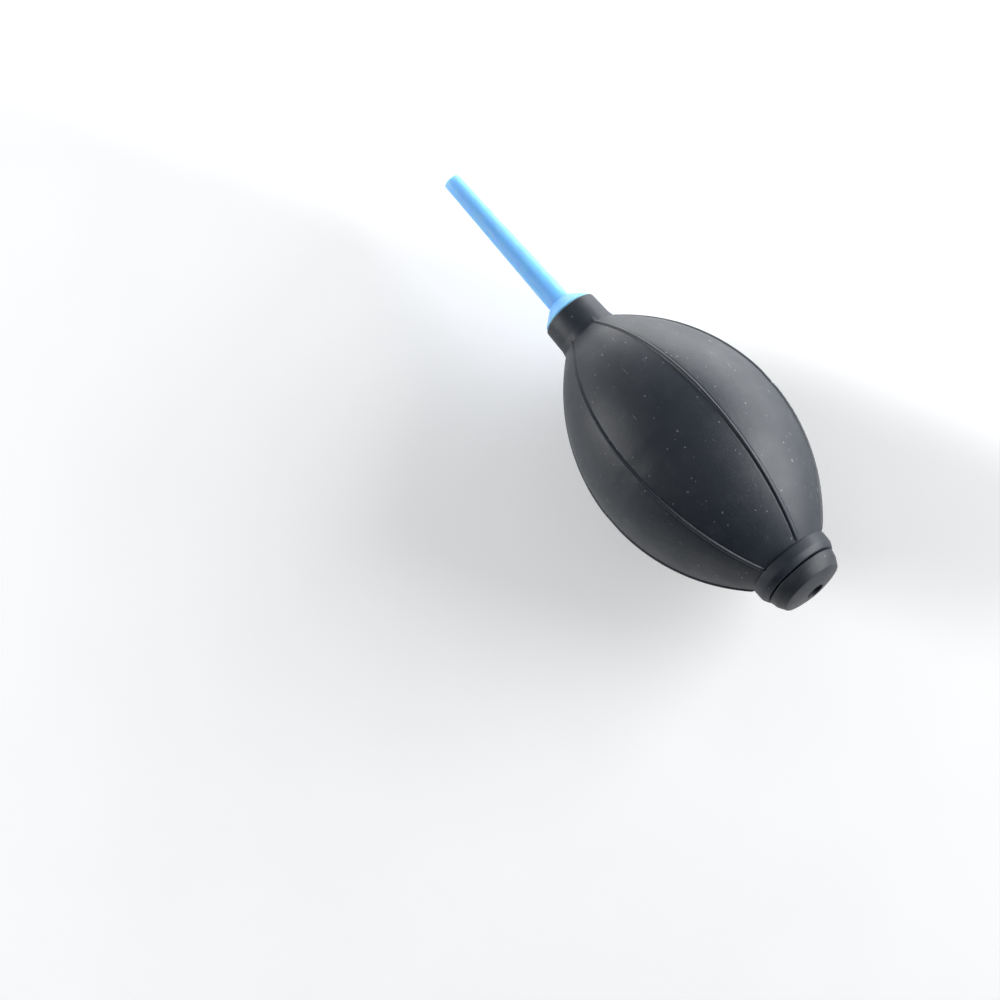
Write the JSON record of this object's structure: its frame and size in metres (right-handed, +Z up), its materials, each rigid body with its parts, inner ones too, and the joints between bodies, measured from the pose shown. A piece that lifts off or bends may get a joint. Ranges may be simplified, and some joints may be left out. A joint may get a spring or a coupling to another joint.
{
  "type": "dust blower bulb",
  "caption": "Hand-squeezed air blower: ribbed oval rubber bulb with a slim tapered plastic nozzle and a rear air valve.",
  "frame": {"origin": "on the surface that the blower lies on, under the middle of its overall length", "axes": "+X along the blower's axis towards the nozzle's tip, +Y to the left of the nozzle, +Z up"},
  "size_m": [0.149, 0.0552, 0.0528],
  "materials": {
    "bulb_rubber": "matte moulded rubber, charcoal, faintly dusty",
    "plug_rubber": "matte moulded rubber, slightly greyer than the bulb",
    "nozzle_plastic": "smooth light blue plastic, slightly translucent",
    "valve_plastic": "plain black moulded plastic",
    "valve_silicone": "thin natural silicone"
  },
  "bodies": {
    "bulb": {"bulb_body": "bulb_rubber", "valve_plug": "plug_rubber", "valve_seat": "valve_plastic", "valve_cage": "valve_plastic"},
    "left_wall": {"squeeze_wall_left": "bulb_rubber"},
    "right_wall": {"squeeze_wall_right": "bulb_rubber"},
    "nozzle": {"nozzle": "nozzle_plastic"},
    "valve_disc": {"valve_disc": "valve_silicone"}
  },
  "joints": [
    {"name": "squeeze_left", "type": "slide", "parent": "bulb", "child": "left_wall", "axis": [0, -1, 0], "range_m": [0, 0.01], "stiffness_N_per_m": 1500},
    {"name": "squeeze_right", "type": "slide", "parent": "bulb", "child": "right_wall", "axis": [0, 1, 0], "range_m": [0, 0.01], "stiffness_N_per_m": 1500},
    {"name": "nozzle_pull", "type": "slide", "parent": "bulb", "child": "nozzle", "axis": [1, 0, 0], "range_m": [0, 0.012]},
    {"name": "valve_lift", "type": "slide", "parent": "bulb", "child": "valve_disc", "axis": [1, 0, 0], "range_m": [0, 0.0007]}
  ],
  "couplings": [
    {"joint": "squeeze_right", "follows": "squeeze_left", "ratio": 1}
  ]
}
